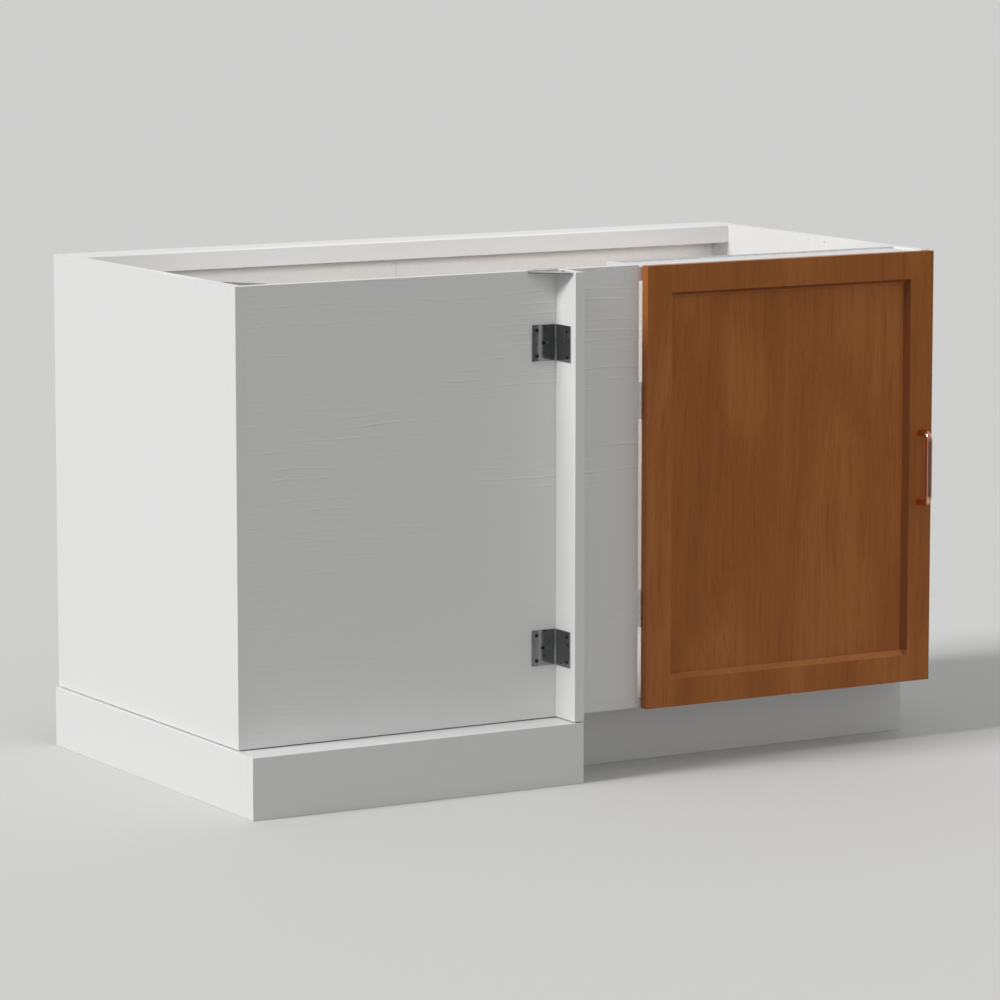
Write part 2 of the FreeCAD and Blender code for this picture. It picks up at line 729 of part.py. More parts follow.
piece("front_top_rail", cut(fuse([rail_web] + tabs), rail_tools))
piece("rail_screws", group(rail_screws))

piece("carcass_dowels", group(dowels))

# Plinth boards with a cap in front of the blind panel, joined by corner blocks
plinth_front_y = "0 - spacer_reach"
left_face = "0 - plinth_proud"
front_size = ("plinth_proud + spacer_right", "board", "plinth_height")
piece("plinth_front", box(front_size, corner), (left_face, plinth_front_y, "0"))
side_size = ("board", "carcass_depth + spacer_reach - board", "plinth_height")
piece("plinth_left", box(side_size, corner), (left_face, "board - spacer_reach", "0"))
return_size = ("board", "spacer_reach + plinth_recess - board", "plinth_height")
piece("plinth_return", box(return_size, corner), ("spacer_left", "board - spacer_reach", "0"))
right_size = ("plinth_right_end - spacer_left + block_side", "board", "plinth_height")
piece("plinth_right", box(right_size, corner), ("spacer_left - block_side", "plinth_recess", "0"))
cap_size = ("spacer_left + plinth_proud - board", "spacer_reach", "board")
cap_at = ("board - plinth_proud", "board - spacer_reach", "plinth_height - board")
piece("plinth_cap", box(cap_size, corner), cap_at)

block_size = ("block_side", "block_side", "block_height")
block_level = "plinth_height - board - block_height"
block_places = [
    ("board - plinth_proud", "board - spacer_reach", block_level),
    ("spacer_left - block_side", "board - spacer_reach", block_level),
    ("spacer_left - block_side", "plinth_recess - block_side", block_level),
]
piece("plinth_corner_blocks", group([box(block_size, at) for at in block_places]))

# Each clip is a ring round a leg with an arm out to the plinth board
clips = []
ring = "leg_body_radius + clip_fit"
clip_arms = [
    (("leg_left", "leg_front"), ("leg_left + plinth_proud - board", "clip_height"), "x"),
    (("leg_left", "leg_back"), ("leg_left + plinth_proud - board", "clip_height"), "x"),
    (("spacer_right + leg_inset", "leg_front"), ("clip_height", "leg_front - plinth_recess - board"), "y"),
    (("leg_right", "leg_front"), ("clip_height", "leg_front - plinth_recess - board"), "y"),
]
for (across, deep), (wide, long), way in clip_arms:
    outer = rod(f"{ring} + clip_wall", "clip_height", "z", (across, deep, "clip_level"))
    start = (f"{across} - ({wide})", f"{deep} - clip_height / 2", "clip_level")
    if way == "y":
        start = (f"{across} - clip_height / 2", f"{deep} - ({long})", "clip_level")
    arm = box((wide, long, "clip_height"), start)
    hole = rod(ring, "clip_height + 2 * overrun", "z", (across, deep, "clip_level - overrun"))
    clips.append(cut(fuse([outer, arm]), [hole]))
piece("plinth_clips", group(clips))

# Butt hinges: knuckles of the two leaves take turns along one pin
knuckle_count = 5
pitch = f"hinge_height / {knuckle_count}"


def leaf(plate, bridge_size, bridge_at, axis_at, base, numbers):
    solids = [plate]
    for number in numbers:
        level = f"{base} + {number} * {pitch} + knuckle_gap / 2"
        length = f"{pitch} - knuckle_gap"
        solids.append(rod("barrel_radius", length, "z", (*axis_at, level)))
        solids.append(box((*bridge_size, length), (*bridge_at, level)))
    return fuse(solids)


axis_place = ("hinge_x", "hinge_y")
for side, level in hinge_levels.items():
    base = f"{level} - hinge_height / 2"
    bore_start = (*axis_place, f"{base} - overrun")
    bore = rod("hinge_pin_radius + hinge_pin_fit", "hinge_height + 2 * overrun", "z", bore_start)
    post_plate = box(
        ("hinge_sheet", "post_leaf", "hinge_height"),
        ("blind_right", "hinge_y + leaf_start", base),
    )
    bridge = ("hinge_sheet", "leaf_start")
    post_leaf = leaf(post_plate, bridge, ("blind_right", "hinge_y"), axis_place, base, (0, 2, 4))
    piece(f"hinge_post_leaf_{side}", cut(post_leaf, [bore] + post_holes[side]))
    door_plate = box(
        ("door_leaf - leaf_start", "hinge_sheet", "hinge_height"),
        ("hinge_x + leaf_start", "door_back", base),
    )
    bridge = ("leaf_start", "hinge_sheet")
    door_leaf = leaf(door_plate, bridge, ("hinge_x", "door_back"), axis_place, base, (1, 3))
    piece(f"hinge_door_leaf_{side}", cut(door_leaf, [bore] + door_holes[side]))
    piece(f"hinge_pin_{side}", rod("hinge_pin_radius", "hinge_height", "z", corner), (*axis_place, base))
piece("hinge_post_screws", group(post_screws))
piece("hinge_door_screws", group(door_screws))

# Framed door: four frame members with a bevelled inner edge, and a flat panel in their grooves
bevel = doc.addObject("Part::Wedge", "Bevel")
bind(
    bevel,
    Xmin="0 - frame_bevel",
    Xmax="opening_width + frame_bevel",
    Zmin="0 - frame_bevel",
    Zmax="opening_height + frame_bevel",
    X2min="0",
    X2max="opening_width",
    Z2min="0",
    Z2max="opening_height",
    Ymin="0",
    Ymax="frame_bevel",
)
put(bevel, ("opening_left", "door_front", "opening_bottom"))
panel_slot = box(
    ("opening_width + 2 * panel_tongue", "panel_sheet + fit", "opening_height + 2 * panel_tongue"),
    ("opening_left - panel_tongue", "panel_front - fit / 2", "opening_bottom - panel_tongue"),
)
handle_holes = []
handle_screws = []
for level in ("handle_low", "handle_high"):
    at = ("handle_x", "door_back", level)
    length = "door_sheet + handle_screw_grip"
    handle_screws.append(screw("y", False, at, length))
    handle_holes.append(screw_hole("y", False, at, length))

slot_size = ("panel_tongue + overrun", "panel_sheet + fit", "door_height + 2 * overrun")
slot_low = "door_bottom - overrun"
left_slot = box(slot_size, ("opening_left - panel_tongue", "panel_front - fit / 2", slot_low))
right_slot = box(slot_size, ("opening_right - overrun", "panel_front - fit / 2", slot_low))
stile_size = ("frame_width", "door_sheet", "door_height")
left_stile = box(stile_size, ("door_left", "door_front", "door_bottom"))
left_stile_tools = [left_slot] + door_holes["upper"] + door_holes["lower"]
piece("door_stile_left", cut(cut(left_stile, [bevel]), left_stile_tools))
right_stile = box(stile_size, ("opening_right", "door_front", "door_bottom"))
piece("door_stile_right", cut(cut(right_stile, [bevel]), [right_slot] + handle_holes))

rail_size = ("opening_width", "door_sheet", "frame_width")
tenon_size = ("opening_width + 2 * (panel_tongue - fit)", "panel_sheet", "frame_width - panel_tongue")
tenon_left = "opening_left - panel_tongue + fit"
rail_levels = {
    "bottom": ("door_bottom", "door_bottom"),
    "top": ("opening_top", "opening_top + panel_tongue"),
}
for side, (level, tenon_level) in rail_levels.items():
    bar = box(rail_size, ("opening_left", "door_front", level))
    tenon = box(tenon_size, (tenon_left, "panel_front", tenon_level))
    piece(f"door_rail_{side}", cut(cut(fuse([bar, tenon]), [bevel]), [panel_slot]))

infill_width = "opening_width + 2 * (panel_tongue - fit)"
infill_height = "opening_height + 2 * (panel_tongue - fit)"
panel_size = (infill_width, "panel_sheet", infill_height)
panel_at = ("opening_left - panel_tongue + fit", "panel_front", "opening_bottom - panel_tongue + fit")
piece("door_panel", box(panel_size, corner), panel_at)

# Bow handle of round bar, bent at both ends and drilled for its screws
bar_length = "handle_centres - 2 * handle_bend"
leg_start = "handle_line + handle_bend"
leg_length = "door_front - handle_line - handle_bend"
bar_at = ("handle_x", "handle_line", "handle_low + handle_bend")
handle_solids = [rod("handle_rod", bar_length, "z", bar_at)]
sideways = FreeCAD.Rotation(FreeCAD.Vector(0, 1, 0), 90)
handle_ends = {"handle_low": ("+", -90), "handle_high": ("-", 180)}
for level, (inner, angle) in handle_ends.items():
    handle_solids.append(rod("handle_rod", leg_length, "y", ("handle_x", leg_start, level)))
    elbow = doc.addObject("Part::Torus", "Elbow")
    elbow.Angle3 = 90
    elbow.Placement.Rotation = sideways.multiply(FreeCAD.Rotation(FreeCAD.Vector(0, 0, 1), angle))
    bind(elbow, Radius1="handle_bend", Radius2="handle_rod")
    put(elbow, ("handle_x", leg_start, f"{level} {inner} handle_bend"))
    handle_solids.append(elbow)
piece("door_handle", cut(fuse(handle_solids), handle_holes))
piece("handle_screws", group(handle_screws))

# Magnetic catch inside the right side with its pole plates, the strike and two bumpers on the door
catch_size = ("catch_width", "catch_depth", "catch_height")
catch_block = box(catch_size, ("catch_left", "0", "catch_level"))
strike_size = ("catch_width", "door_gap", "strike_height")
strike_level = "catch_level + (catch_height - strike_height) / 2"
pole_slots = []
poles = []
pole_size = ("pole_sheet", "pole_depth", "strike_height")
pole_slot_size = ("pole_sheet + fit", "pole_depth + fit / 2 + overrun", "strike_height + fit")
for start in ("catch_left + pole_inset", "right_inner - pole_inset - pole_sheet"):
    poles.append(box(pole_size, (start, "0", strike_level)))
    slot_at = (f"{start} - fit / 2", "0 - overrun", f"{strike_level} - fit / 2")
    pole_slots.append(box(pole_slot_size, slot_at))
piece("magnetic_catch", cut(catch_block, pole_slots))
piece("catch_poles", group(poles))
piece("catch_strike", box(strike_size, corner), ("catch_left", "door_back", strike_level))
bumpers = []
for level in ("door_bottom + bumper_level", "door_top - bumper_level"):
    bumpers.append(rod("bumper_radius", "door_gap", "y", ("door_right - bumper_inset", "door_back", level)))
piece("door_bumpers", group(bumpers))

doc.recompute()
faults = [thing.Label for thing in doc.Objects if {"Invalid", "Error"} & set(thing.State)]
faults += [thing.Label for thing in pieces if thing.Shape.isNull() or not thing.Shape.isValid()]
if faults:
    raise RuntimeError("failed: " + ", ".join(faults))

os.makedirs("parts", exist_ok=True)
for thing in pieces:
    thing.Shape.exportStep(f"parts/{thing.Label}.step")
print(len(pieces), "pieces")
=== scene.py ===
import json
import math

import bmesh
import bpy
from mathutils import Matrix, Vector


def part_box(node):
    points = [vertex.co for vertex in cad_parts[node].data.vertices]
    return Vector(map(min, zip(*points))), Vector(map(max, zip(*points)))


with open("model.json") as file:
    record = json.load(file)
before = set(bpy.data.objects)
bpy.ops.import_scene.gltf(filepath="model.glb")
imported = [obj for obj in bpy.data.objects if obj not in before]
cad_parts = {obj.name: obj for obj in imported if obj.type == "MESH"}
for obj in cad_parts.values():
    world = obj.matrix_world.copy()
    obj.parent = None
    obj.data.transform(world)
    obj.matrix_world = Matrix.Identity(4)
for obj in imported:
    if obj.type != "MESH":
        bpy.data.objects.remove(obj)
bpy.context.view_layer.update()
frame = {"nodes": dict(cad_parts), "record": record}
nodes = frame["nodes"]
slotOf = {part["node"]: part["material_slot"] for part in frame["record"]["subparts"]}
print("cabinet loaded:", len(nodes), "pieces")


# helpers for node trees
def addNode(tree, kind, values=None, **settings):
    node = tree.nodes.new(kind)
    for name, value in settings.items():
        setattr(node, name, value)
    for socket, value in (values or {}).items():
        node.inputs[socket].default_value = value
    return node


def feed(tree, socket, value):  # a number or colour is set, an output is linked
    if isinstance(value, (int, float)):
        socket.default_value = value
    elif isinstance(value, tuple):
        socket.default_value = (*value, 1)
    else:
        tree.links.new(value, socket)


def grey(shade):
    return (shade, shade, shade)


def addRamp(tree, factor, stops):
    ramp = addNode(tree, "ShaderNodeValToRGB")
    steps = ramp.color_ramp.elements
    while len(steps) < len(stops):
        steps.new(0.5)
    for step, (place, shade) in zip(steps, stops):
        step.position = place
        step.color = (*shade, 1) if isinstance(shade, tuple) else (*grey(shade), 1)
    feed(tree, ramp.inputs["Fac"], factor)
    return ramp.outputs["Color"]


def addMath(tree, operation, first, second=0.0):
    node = addNode(tree, "ShaderNodeMath", operation=operation)
    feed(tree, node.inputs[0], first)
    feed(tree, node.inputs[1], second)
    return node.outputs["Value"]


def multiply(tree, first, *others):
    for other in others:
        first = addMath(tree, "MULTIPLY", first, other)
    return first


def addMix(tree, factor, low, high, blend="MIX"):
    node = addNode(tree, "ShaderNodeMix", data_type="RGBA", blend_type=blend)
    for place, value in ((0, factor), (6, low), (7, high)):  # 6 and 7 are the node's colour inputs
        feed(tree, node.inputs[place], value)
    return node.outputs[2]


def stretch(tree, vector, scale, turn=(0, 0, 0)):
    node = addNode(tree, "ShaderNodeMapping", {"Scale": scale, "Rotation": turn})
    feed(tree, node.inputs["Vector"], vector)
    return node.outputs["Vector"]


def addNoise(tree, vector, scale, detail=2.0, roughness=0.5):  # three scales draw the noise out along the axes
    if isinstance(scale, tuple):
        vector, scale = stretch(tree, vector, scale), 1.0
    node = addNode(tree, "ShaderNodeTexNoise", {"Scale": scale, "Detail": detail, "Roughness": roughness})
    feed(tree, node.inputs["Vector"], vector)
    return node.outputs["Fac"]


def splitPlace(tree, vector):
    node = addNode(tree, "ShaderNodeSeparateXYZ")
    feed(tree, node.inputs["Vector"], vector)
    return node.outputs


def newGroup(name, inputs, outputs):
    group = bpy.data.node_groups.new(name, "ShaderNodeTree")
    group.interface.new_socket("Vector", in_out="INPUT", socket_type="NodeSocketVector")
    for label in inputs:
        group.interface.new_socket(label, in_out="INPUT", socket_type="NodeSocketFloat")
    for label in outputs:
        group.interface.new_socket(label, in_out="OUTPUT", socket_type="NodeSocketFloat")
    return group, addNode(group, "NodeGroupInput").outputs, addNode(group, "NodeGroupOutput").inputs


def useGroup(tree, group, vector, **values):
    node = addNode(tree, "ShaderNodeGroup", values, node_tree=group)
    feed(tree, node.inputs["Vector"], vector)
    return node.outputs


def newMaterial(name, **sockets):
    material = bpy.data.materials.new(name)
    material.use_nodes = True
    tree = material.node_tree
    shader = tree.nodes["Principled BSDF"]
    for label, value in sockets.items():
        shader.inputs[label.replace("_", " ")].default_value = value
    place = addNode(tree, "ShaderNodeTexCoord").outputs["Object"]
    return material, tree, shader, place


def dress(tree, shader, colour, gloss, height, relief, depth):
    bump = addNode(tree, "ShaderNodeBump", {"Strength": relief, "Distance": depth})
    feed(tree, bump.inputs["Height"], height)
    feed(tree, shader.inputs["Base Color"], colour)
    feed(tree, shader.inputs["Roughness"], gloss)
    feed(tree, shader.inputs["Normal"], bump.outputs["Normal"])


# embossed foil: thin drawn-out lines in patches, over a fine fibre, each line with a dark and a light side that the
# colour uses as painted shade and painted highlight; X of the vector runs along the lines
foilLines = {
    "perMetre": 58.0, "sides": [(0.36, 0.5), (0.45, 0.0), (0.55, 1.0), (0.64, 0.5)],
    "wander": 2.4, "wanderNoise": {"scale": (2.8, 9, 9), "detail": 4.0},
    "dashNoise": {"scale": (11, 55, 55)}, "dashes": [(0.43, 0.0), (0.57, 1.0)],
    "patchNoise": {"scale": (2.2, 6, 6), "detail": 1.0}, "patches": [(0.42, 0.0), (0.54, 1.0)],
    "fibre": 0.25, "fibreNoise": {"scale": (25, 700, 700)}, "hazeNoise": {"scale": 2.4, "detail": 3.0},
}


def makeEmbossedFoil(look):
    group, entry, out = newGroup("embossed foil", [], ["Line", "Height", "Haze"])
    place = entry["Vector"]
    spot = splitPlace(group, place)
    rise = addMath(group, "ADD", spot["Y"], spot["Z"])
    wander = addNoise(group, place, **look["wanderNoise"])
    count = addMath(group, "ADD", multiply(group, rise, look["perMetre"]), multiply(group, wander, look["wander"]))
    sides = addRamp(group, addMath(group, "FRACT", count), look["sides"])
    dashes = addRamp(group, addNoise(group, place, **look["dashNoise"]), look["dashes"])
    patches = addRamp(group, addNoise(group, place, **look["patchNoise"]), look["patches"])
    line = multiply(group, addMath(group, "SUBTRACT", sides, 0.5), multiply(group, dashes, patches))
    fibre = multiply(group, addNoise(group, place, **look["fibreNoise"]), look["fibre"])
    feed(group, out["Line"], addMath(group, "ADD", line, 0.5))
    feed(group, out["Height"], addMath(group, "ADD", fibre, line))
    feed(group, out["Haze"], addNoise(group, place, **look["hazeNoise"]))
    return group


# wood figure: X of the vector runs along the grain
grainFigure = {
    "wander": 0.07, "wanderNoise": {"scale": (2.2, 4.5, 4.5), "detail": 1.0},
    "streakNoise": {"scale": (1.7, 48, 48), "detail": 5.0, "roughness": 0.62}, "streakPart": 0.72,
    "bend": 9.0, "bendNoise": {"scale": (1.1, 5, 5), "detail": 1.0},
    "wave": {"Scale": 1.0, "Distortion": 3.0, "Detail": 2.0, "Detail Scale": 0.8},
    "waveScale": (0.9, 11, 11), "wavePart": 0.28,
    "poreNoise": {"scale": (22, 560, 560), "detail": 1.0}, "pores": [(0.6, 0.0), (0.7, 1.0)],
    "dashNoise": {"scale": (7, 190, 190), "roughness": 0.6}, "dashes": [(0.52, 0.0), (0.72, 1.0)],
    "cloudNoise": {"scale": (2, 6, 6)},
}


def makeWoodFigure(look):
    group, entry, out = newGroup("wood figure", [], ["Streak", "Pore", "Dash", "Cloud"])
    wander = addMath(group, "SUBTRACT", addNoise(group, entry["Vector"], **look["wanderNoise"]), 0.5)
    sideways = addNode(group, "ShaderNodeCombineXYZ")
    for axis in ("Y", "Z"):
        feed(group, sideways.inputs[axis], multiply(group, wander, look["wander"]))
    wandered = addNode(group, "ShaderNodeVectorMath", operation="ADD")
    feed(group, wandered.inputs[0], entry["Vector"])
    feed(group, wandered.inputs[1], sideways.outputs["Vector"])
    place = wandered.outputs["Vector"]
    wave = addNode(group, "ShaderNodeTexWave", look["wave"], wave_type="BANDS", bands_direction="Y")
    feed(group, wave.inputs["Vector"], stretch(group, place, look["waveScale"]))
    bend = addNoise(group, place, **look["bendNoise"])
    feed(group, wave.inputs["Phase Offset"], multiply(group, bend, look["bend"]))
    streaks = multiply(group, addNoise(group, place, **look["streakNoise"]), look["streakPart"])
    bands = multiply(group, wave.outputs["Fac"], look["wavePart"])
    feed(group, out["Streak"], addMath(group, "ADD", streaks, bands))
    feed(group, out["Pore"], addRamp(group, addNoise(group, place, **look["poreNoise"]), look["pores"]))
    feed(group, out["Dash"], addRamp(group, addNoise(group, place, **look["dashNoise"]), look["dashes"]))
    feed(group, out["Cloud"], addNoise(group, place, **look["cloudNoise"]))
    return group


# handling marks: faint smears that change the gloss, and a fine grit
marks = {"smearNoise": {"scale": 9.0, "detail": 4.0, "roughness": 0.6}, "gritNoise": {"scale": 900.0}}


def makeSmears(look):
    group, entry, out = newGroup("smears", ["Low", "High"], ["Gloss", "Grit"])
    smears = addNoise(group, entry["Vector"], **look["smearNoise"])
    span = addMath(group, "SUBTRACT", entry["High"], entry["Low"])
    feed(group, out["Gloss"], addMath(group, "ADD", multiply(group, smears, span), entry["Low"]))
    feed(group, out["Grit"], addNoise(group, entry["Vector"], **look["gritNoise"]))
    return group


embossedFoil = makeEmbossedFoil(foilLines)
woodFigure = makeWoodFigure(grainFigure)
smear = makeSmears(marks)
print("shared effects ready")

# turns that bring the grain direction onto X
grainTurns = {"across": (0, 0, 0), "upright": (0, math.radians(90), 0), "deep": (0, 0, math.radians(-90))}


def alongGrain(tree, place, grain):
    return stretch(tree, place, (1, 1, 1), grainTurns[grain])


# in each look, gloss bounds the roughness, and relief and depth set the bump
# the blind panel's foil has clear lines, their sides painted with shade and highlight, that fade low down, the other
# boards' foil hardly any
foilLook = {
    "ior": 1.46, "white": (0.86, 0.86, 0.857), "hazed": (0.85, 0.85, 0.845), "haze": [(0.3, 0.0), (0.7, 1.0)],
    "gloss": {"Low": 0.36, "High": 0.5}, "depth": 0.0006, "fadeFrom": 0.35, "fadeTo": 0.55,
    "lined": {"dark": 0.79, "mid": 0.94, "light": 1.09, "relief": 0.3, "faint": 0.25},
    "plain": {"dark": 0.91, "mid": 0.93, "light": 0.95, "relief": 0.06, "faint": 1.0},
}


def whiteFoil(grain, kind):
    look = {**foilLook, **foilLook[kind]}
    material, tree, shader, place = newMaterial(kind + "Foil" + grain.capitalize(), IOR=look["ior"])
    foil = useGroup(tree, embossedFoil, alongGrain(tree, place, grain))
    gloss = useGroup(tree, smear, place, **look["gloss"])
    hazed = addMix(tree, addRamp(tree, foil["Haze"], look["haze"]), look["white"], look["hazed"])
    # painted shade and painted highlight on the two sides of each line; the bump gives the lines their real relief
    lines = addMix(tree, foil["Line"], grey(look["dark"]), grey(look["light"]))
    fade = [(look["fadeFrom"], look["faint"]), (look["fadeTo"], 1.0)]
    shown = addMix(tree, addRamp(tree, splitPlace(tree, place)["Z"], fade), grey(look["mid"]), lines)
    colour = addMix(tree, 1.0, hazed, shown, "MULTIPLY")
    dress(tree, shader, colour, gloss["Gloss"], foil["Height"], look["relief"], look["depth"])
    return material


# slopes around the door's panel, a ring just outside its opening: painted shade on the top and right slopes, painted
# light on the bottom one and, faintly, the left
slopeRing = {
    # width and depth place the ring; the other numbers set the painted shade on the top and right slopes and the
    # painted light on the bottom and left ones
    "width": 0.0092, "depth": 0.012, "topFade": [(0.3, 0.0), (0.7, 1.0)], "paintedShade": 0.85, "paintedLight": 0.28, "paintedLightLeft": 0.1,
}


def slopeMasks(tree, place):
    spot = splitPlace(tree, place)
    left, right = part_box("door_stile_left")[1][0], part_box("door_stile_right")[0][0]
    bottom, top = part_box("door_rail_bottom")[1][2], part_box("door_rail_top")[0][2]
    beyond = []
    for way, low, high in ((spot["X"], left, right), (spot["Z"], bottom, top)):
        away = addMath(tree, "ABSOLUTE", addMath(tree, "SUBTRACT", way, (low + high) / 2))
        beyond.append(addMath(tree, "SUBTRACT", away, (high - low) / 2))
    ring = addMath(tree, "MAXIMUM", *beyond)
    outside = addMath(tree, "GREATER_THAN", ring, 0.0)
    inside = addMath(tree, "LESS_THAN", ring, slopeRing["width"])
    front = addMath(tree, "LESS_THAN", spot["Y"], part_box("door_stile_left")[0][1] + slopeRing["depth"])
    slope = multiply(tree, outside, inside, front)
    height = addMath(tree, "DIVIDE", addMath(tree, "SUBTRACT", spot["Z"], top), slopeRing["width"])
    upper = addRamp(tree, height, slopeRing["topFade"])
    # painted shade: the top slope, fading towards the panel, and the right slope
    dark = addMath(tree, "MAXIMUM", upper, addMath(tree, "GREATER_THAN", spot["X"], right))
    # painted light: the bottom slope, and the left one faintly
    below = multiply(tree, addMath(tree, "LESS_THAN", spot["Z"], bottom), slopeRing["paintedLight"])
    leftward = multiply(tree, addMath(tree, "LESS_THAN", spot["X"], left), slopeRing["paintedLightLeft"])
    paintedLight = multiply(tree, slope, addMath(tree, "MAXIMUM", below, leftward))
    return multiply(tree, slope, dark, slopeRing["paintedShade"]), paintedLight


woodLook = {
    "ior": 1.5, "specular": 0.25, "gloss": {"Low": 0.36, "High": 0.5},
    "dark": (0.32, 0.097, 0.018), "mid": (0.432, 0.142, 0.029), "light": (0.535, 0.197, 0.052),
    # the last two tones here are painted shade and painted light for the slopes round the panel
    "pore": (0.20, 0.057, 0.012), "shadedSlope": (0.15, 0.036, 0.005), "litSlope": (0.62, 0.25, 0.085),
    "tones": {"dark": 0.25, "mid": 0.48, "light": 0.72}, "calm": 0.4,
    "figure": [("Cloud", 0.3, "dark"), ("Dash", 0.3, "pore"), ("Pore", 0.25, "pore")],
    "streakRelief": 0.4, "relief": 0.35, "depth": 0.0003,
}


def stainedWood(look):
    material, tree, shader, place = newMaterial(
        "stainedWoodUpright", IOR=look["ior"], Specular_IOR_Level=look["specular"]
    )
    wood = useGroup(tree, woodFigure, alongGrain(tree, place, "upright"))
    gloss = useGroup(tree, smear, place, **look["gloss"])
    streaks = addRamp(tree, wood["Streak"], [(spot, look[shade]) for shade, spot in look["tones"].items()])
    colour = addMix(tree, look["calm"], streaks, look["mid"])
    for label, share, shade in look["figure"]:
        colour = addMix(tree, multiply(tree, wood[label], share), colour, look[shade])
    paintedShade, paintedLight = slopeMasks(tree, place)
    # painted shade on the top and right slopes, painted light on the bottom and left ones
    colour = addMix(tree, paintedShade, colour, look["shadedSlope"])
    colour = addMix(tree, paintedLight, colour, look["litSlope"])
    height = addMath(tree, "SUBTRACT", multiply(tree, wood["Streak"], look["streakRelief"]), wood["Pore"])
    dress(tree, shader, colour, gloss["Gloss"], height, look["relief"], look["depth"])
    return material


beechLook = {
    "ior": 1.45, "gloss": {"Low": 0.55, "High": 0.7},
    "tones": [(0.25, (0.46, 0.29, 0.15)), (0.5, (0.6, 0.41, 0.24)), (0.75, (0.68, 0.5, 0.32))],
    "pore": (0.35, 0.2, 0.1), "pores": 0.4, "relief": 0.3, "depth": 0.0003,
}


def rawBeech(look):
    material, tree, shader, place = newMaterial("rawBeech", IOR=look["ior"])
    wood = useGroup(tree, woodFigure, alongGrain(tree, place, "upright"))
    gloss = useGroup(tree, smear, place, **look["gloss"])
    streaks = addRamp(tree, wood["Streak"], look["tones"])
    colour = addMix(tree, multiply(tree, wood["Pore"], look["pores"]), streaks, look["pore"])
    dress(tree, shader, colour, gloss["Gloss"], wood["Streak"], look["relief"], look["depth"])
    return material


hardboardLook = {
    "ior": 1.45, "gloss": {"Low": 0.5, "High": 0.65}, "dull": (0.83, 0.82, 0.797), "pale": (0.87, 0.864, 0.848),
    "fibreNoise": {"scale": (160, 160, 160), "detail": 4.0, "roughness": 0.7}, "fibres": [(0.35, 0.0), (0.7, 1.0)],
    "relief": 0.25, "depth": 0.0003,
}


def pressedBoard(look):
    material, tree, shader, place = newMaterial("whiteHardboard", IOR=look["ior"])
    fibres = addNoise(tree, place, **look["fibreNoise"])
    gloss = useGroup(tree, smear, place, **look["gloss"])
    colour = addMix(tree, addRamp(tree, fibres, look["fibres"]), look["dull"], look["pale"])
    dress(tree, shader, colour, gloss["Gloss"], fibres, look["relief"], look["depth"])
    return material


# metals: spangle is how far the flakes differ in shade, bare how metallic the surface is, edge its tint at a glance
steelTint = (1, 1.03, 1.02)
metalLooks = {
    "darkSteel": {
        "shade": 0.12, "low": 0.2, "high": 0.34, "spangle": 0.12, "tint": steelTint, "edge": 0.4, "bare": 0.45,
    },
    "bracketSteel": {"shade": 0.28, "low": 0.08, "high": 0.14, "spangle": 0.06, "tint": steelTint, "bare": 0.87},
    "brightPlate": {"shade": 0.5, "low": 0.16, "high": 0.3, "spangle": 0.08},
    "zincSheet": {"shade": 0.8, "low": 0.3, "high": 0.45, "spangle": 0.06, "bare": 0.2},
    "hingePlate": {"shade": 0.92, "low": 0.25, "high": 0.4, "spangle": 0.03, "bare": 0.1},
    "screwZinc": {"shade": 0.65, "low": 0.22, "high": 0.36, "spangle": 0.06},
    "blackenedScrew": {"shade": 0.05, "low": 0.3, "high": 0.45, "spangle": 0.1, "edge": 0.4},
    "copperPlate": {"shade": 0.78, "low": 0.09, "high": 0.16, "spangle": 0.03, "tint": (1, 0.5, 0.37)},
}
metalGrain = {"flakes": {"Scale": 140.0, "Randomness": 1.0}, "relief": 0.12, "depth": 0.0002}


def metalSheet(name):
    look = {"tint": grey(1), "edge": 1.0, "bare": 1.0, **metalLooks[name]}
    material, tree, shader, place = newMaterial(
        name, Metallic=look["bare"], Specular_Tint=(*grey(look["edge"]), 1)
    )
    cells = addNode(tree, "ShaderNodeTexVoronoi", metalGrain["flakes"])
    feed(tree, cells.inputs["Vector"], place)
    flake = addNode(tree, "ShaderNodeSeparateColor")
    feed(tree, flake.inputs["Color"], cells.outputs["Color"])
    gloss = useGroup(tree, smear, place, Low=look["low"], High=look["high"])
    dark = tuple(look["shade"] * part * (1 - look["spangle"]) for part in look["tint"])
    light = tuple(look["shade"] * part * (1 + look["spangle"]) for part in look["tint"])
    colour = addMix(tree, flake.outputs["Red"], dark, light)
    dress(tree, shader, colour, gloss["Gloss"], gloss["Grit"], metalGrain["relief"], metalGrain["depth"])
    return material


plasticLooks = {
    "blackPlastic": {"shade": (0.03, 0.03, 0.031), "low": 0.42, "high": 0.58, "relief": 0.2},
    "whitePlastic": {"shade": (0.87, 0.865, 0.85), "low": 0.35, "high": 0.5, "relief": 0.1},
    "clearRubber": {"shade": (0.72, 0.72, 0.7), "low": 0.25, "high": 0.4, "relief": 0.1},
}
plasticGrain = {"ior": 1.47, "faded": 0.9, "depth": 0.0003}


def mouldedPlastic(name):
    look = plasticLooks[name]
    material, tree, shader, place = newMaterial(name, IOR=plasticGrain["ior"])
    gloss = useGroup(tree, smear, place, Low=look["low"], High=look["high"])
    faded = tuple(part * plasticGrain["faded"] for part in look["shade"])
    colour = addMix(tree, gloss["Grit"], faded, look["shade"])
    dress(tree, shader, colour, gloss["Gloss"], gloss["Grit"], look["relief"], plasticGrain["depth"])
    return material


